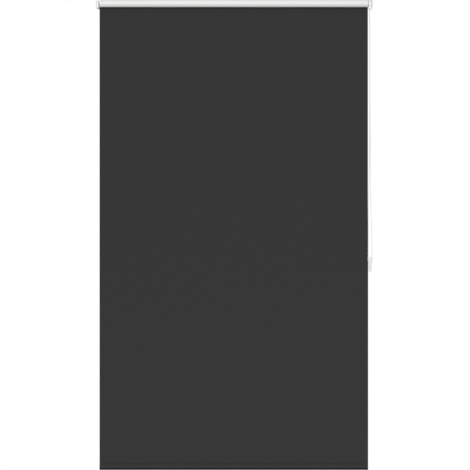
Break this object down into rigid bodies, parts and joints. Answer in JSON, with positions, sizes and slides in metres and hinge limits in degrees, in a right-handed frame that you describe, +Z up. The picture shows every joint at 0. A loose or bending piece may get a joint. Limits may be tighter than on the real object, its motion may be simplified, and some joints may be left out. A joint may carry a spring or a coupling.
{
  "type": "roller blind",
  "caption": "Chain-operated roller blind with dark grey fabric on a white-backed roll, wall brackets, bead chain with tensioner and a fabric-covered bottom bar.",
  "frame": {"origin": "on the wall plane, midway along the fabric, level with the roller's axis", "axes": "+X along the roller towards the chain side, +Y into the wall, +Z up; the fabric faces the room along -Y"},
  "size_m": [1.3477, 0.057, 2.3023],
  "materials": {
    "fabric_front": "matte",
    "fabric_back": "satin",
    "white_plastic": "satin",
    "grey_plastic": "satin",
    "dark_plastic": "satin",
    "chain_plastic": "gloss",
    "white_steel": "satin",
    "bright_steel": "satin",
    "spring_steel": "satin",
    "aluminium": "satin",
    "anthracite_aluminium": "satin"
  },
  "bodies": {
    "mounting": {"bracket_left": "white_steel", "cover_left": "white_plastic", "bracket_right": "white_steel", "cover_right": "white_plastic", "clutch_core": "grey_plastic", "retaining_washer": "bright_steel", "retaining_screw": "bright_steel", "chain_guard": "white_plastic", "fabric_panel": "fabric_front", "chain_front_strand": "chain_plastic", "chain_rear_strand": "chain_plastic", "chain_bottom_loop": "chain_plastic", "chain_over_sprocket": "chain_plastic", "tensioner_front": "grey_plastic", "tensioner_back": "grey_plastic", "tensioner_base": "grey_plastic", "wheel_axle": "bright_steel", "tensioner_screw": "bright_steel"},
    "bottom_rail": {"bottom_bar": "anthracite_aluminium", "hem_pocket": "fabric_front", "bottom_bar_spline": "dark_plastic", "bottom_cap_left": "dark_plastic", "bottom_cap_right": "dark_plastic"},
    "roller": {"roller_tube": "aluminium", "roller_spline": "grey_plastic", "fabric_roll": "fabric_back", "idle_plug": "white_plastic", "idle_plug_cap": "white_plastic", "idle_spring": "spring_steel", "tube_adapter": "white_plastic"},
    "sprocket": {"drive_sprocket": "grey_plastic", "wrap_spring_1": "spring_steel", "wrap_spring_2": "spring_steel", "wrap_spring_3": "spring_steel"},
    "idle_pin": {"idle_pin": "bright_steel"},
    "guide_wheel": {"tensioner_wheel": "white_plastic"}
  },
  "joints": [
    {"name": "blind_travel", "type": "slide", "parent": "mounting", "child": "bottom_rail", "axis": [0, 0, 1], "range_m": [0, 2.198], "deforming": ["fabric_panel"]},
    {"name": "tube_spin", "type": "hinge", "parent": "mounting", "child": "roller", "pos_m": [0, -0.034, 0], "axis": [1, 0, 0], "range_deg": [0, 6250]},
    {"name": "sprocket_spin", "type": "hinge", "parent": "mounting", "child": "sprocket", "pos_m": [0.6615, -0.034, 0], "axis": [1, 0, 0], "range_deg": [0, 6250]},
    {"name": "guide_wheel_spin", "type": "hinge", "parent": "mounting", "child": "guide_wheel", "pos_m": [0.6642, -0.0254, -1.263], "axis": [0, -1, 0], "range_deg": [0, 10400]},
    {"name": "idle_pin_press", "type": "slide", "parent": "mounting", "child": "idle_pin", "axis": [1, 0, 0], "range_m": [0, 0.008], "stiffness_N_per_m": 700, "springref_m": -0.008, "deforming": ["idle_spring"]}
  ],
  "couplings": [
    {"joint": "tube_spin", "follows": "blind_travel", "rad_per_m": 49.261},
    {"joint": "sprocket_spin", "follows": "blind_travel", "rad_per_m": 49.261},
    {"joint": "guide_wheel_spin", "follows": "blind_travel", "rad_per_m": 82.352}
  ]
}
